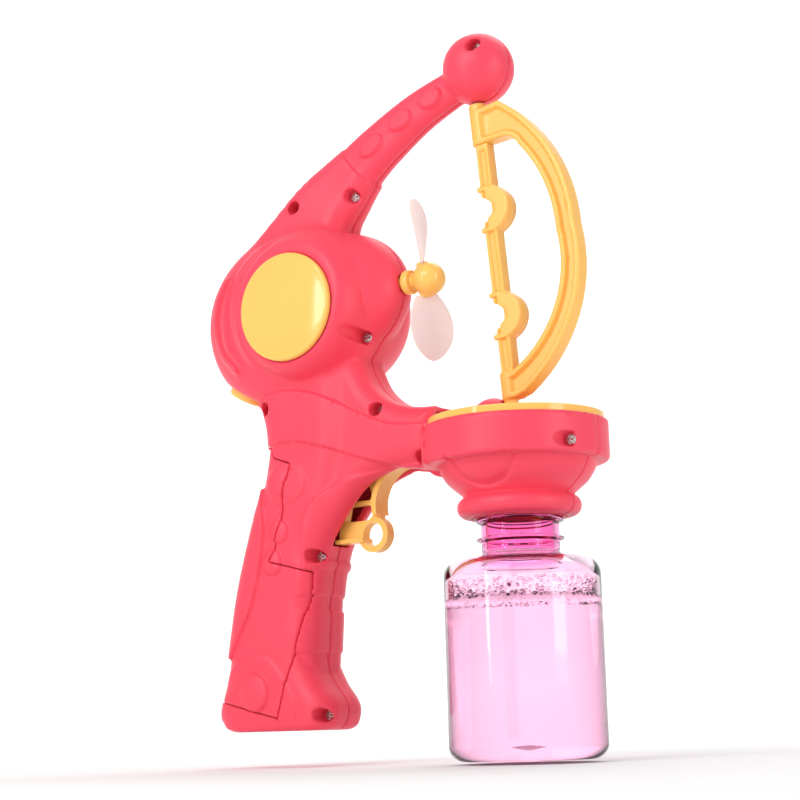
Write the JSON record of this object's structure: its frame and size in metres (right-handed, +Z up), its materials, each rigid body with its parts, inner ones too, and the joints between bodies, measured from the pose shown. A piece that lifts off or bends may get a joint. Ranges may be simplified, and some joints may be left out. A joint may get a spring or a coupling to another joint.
{
  "type": "bubble machine",
  "caption": "Hand-held toy bubble machine with a bow-shaped film frame, fan, trigger, pump and screw-on solution bottle.",
  "frame": {"origin": "centre of the bottle's base, on the plane the bottle stands on", "axes": "+Z up the bottle, +X towards the bow and dish, away from the grip, +Y to the user's left; the casing is split in the plane y = 0"},
  "size_m": [0.1549, 0.0606, 0.2478],
  "materials": {
    "casing_red": "satin",
    "trim_yellow": "glossy",
    "bow_yellow": "satin",
    "blade_soft": "translucent",
    "bottle_clear": "clear pink PET",
    "liquid_pink": "clear liquid",
    "foam_pink": "fine bubbles",
    "steel": "zinc plated",
    "spring_steel": "nickel plated",
    "gear_white": "acetal",
    "inner_black": "matt",
    "tube_clear": "silicone",
    "cell_wrap": "plain sleeve"
  },
  "bodies": {
    "housing": {"left_shell": "casing_red", "right_shell": "casing_red", "shell_screws": "steel", "left_side_cap": "trim_yellow", "right_side_cap": "trim_yellow", "drip_tray": "trim_yellow", "bottle_socket": "inner_black", "bottle_seal": "tube_clear", "pivot_bush": "gear_white", "upper_pivot": "steel", "trigger_pin": "steel", "shaft_bush": "gear_white", "motor": "steel", "motor_bracket": "inner_black", "layshaft": "steel", "pump_body": "inner_black", "suction_tube": "tube_clear", "pump_tube": "tube_clear", "delivery_tube": "tube_clear", "battery_box": "inner_black", "batteries": "cell_wrap", "contact_plates": "spring_steel", "contact_springs": "spring_steel", "button_dome": "tube_clear", "power_switch": "inner_black"},
    "fan": {"fan_hub": "trim_yellow", "fan_blades": "blade_soft", "drive_shaft": "steel", "motor_pinion": "gear_white"},
    "reduction": {"reduction_gear": "gear_white"},
    "pump": {"pump_gear": "gear_white", "pump_rotor": "inner_black", "pump_rollers": "gear_white"},
    "trigger": {"trigger": "bow_yellow"},
    "rack": {"rack_bar": "gear_white"},
    "bow": {"bow_arc": "bow_yellow", "bow_bar": "bow_yellow", "bow_pinion": "gear_white"},
    "power_button": {"power_button": "trim_yellow"},
    "battery_door": {"battery_door": "casing_red", "door_screw": "steel"},
    "bottle": {"bottle": "bottle_clear", "bubble_liquid": "liquid_pink", "bubble_foam": "foam_pink"}
  },
  "joints": [
    {"name": "fan_spin", "type": "hinge", "parent": "housing", "child": "fan", "pos_m": [-0.06, 0, 0.1645], "axis": [1, 0, 0], "continuous": true},
    {"name": "reduction_spin", "type": "hinge", "parent": "housing", "child": "reduction", "pos_m": [-0.09, 0.01, 0.1645], "axis": [1, 0, 0], "continuous": true},
    {"name": "pump_spin", "type": "hinge", "parent": "housing", "child": "pump", "pos_m": [-0.1, 0, 0.1645], "axis": [1, 0, 0], "continuous": true},
    {"name": "trigger_pull", "type": "hinge", "parent": "housing", "child": "trigger", "pos_m": [-0.0425, 0, 0.1145], "axis": [0, 1, 0], "range_deg": [0, 12], "stiffness_Nm_per_rad": 0.08, "springref_deg": -20.05},
    {"name": "rack_slide", "type": "slide", "parent": "housing", "child": "rack", "axis": [-0.9964, 0, -0.0849], "range_m": [0, 0.00252]},
    {"name": "bow_swing", "type": "hinge", "parent": "housing", "child": "bow", "pos_m": [-0.0015, 0, 0.118], "axis": [0.0849, 0, -0.9964], "range_deg": [0, 60.18]},
    {"name": "button_press", "type": "slide", "parent": "housing", "child": "power_button", "axis": [0.4909, 0, 0.8712], "range_m": [0, 0.0018], "stiffness_N_per_m": 400, "springref_m": -0.001, "deforming": ["button_dome"]},
    {"name": "door_off", "type": "slide", "parent": "housing", "child": "battery_door", "axis": [-0.9703, 0, 0.2419], "range_m": [0, 0.03]},
    {"name": "bottle_off", "type": "slide", "parent": "housing", "child": "bottle", "axis": [0, 0, -1], "range_m": [0, 0.08]}
  ],
  "couplings": [
    {"joint": "reduction_spin", "follows": "fan_spin", "ratio": -0.33333},
    {"joint": "pump_spin", "follows": "fan_spin", "ratio": 0.11111},
    {"joint": "rack_slide", "follows": "trigger_pull", "m_per_rad": 0.0118},
    {"joint": "bow_swing", "follows": "trigger_pull", "ratio": 4.9167}
  ]
}
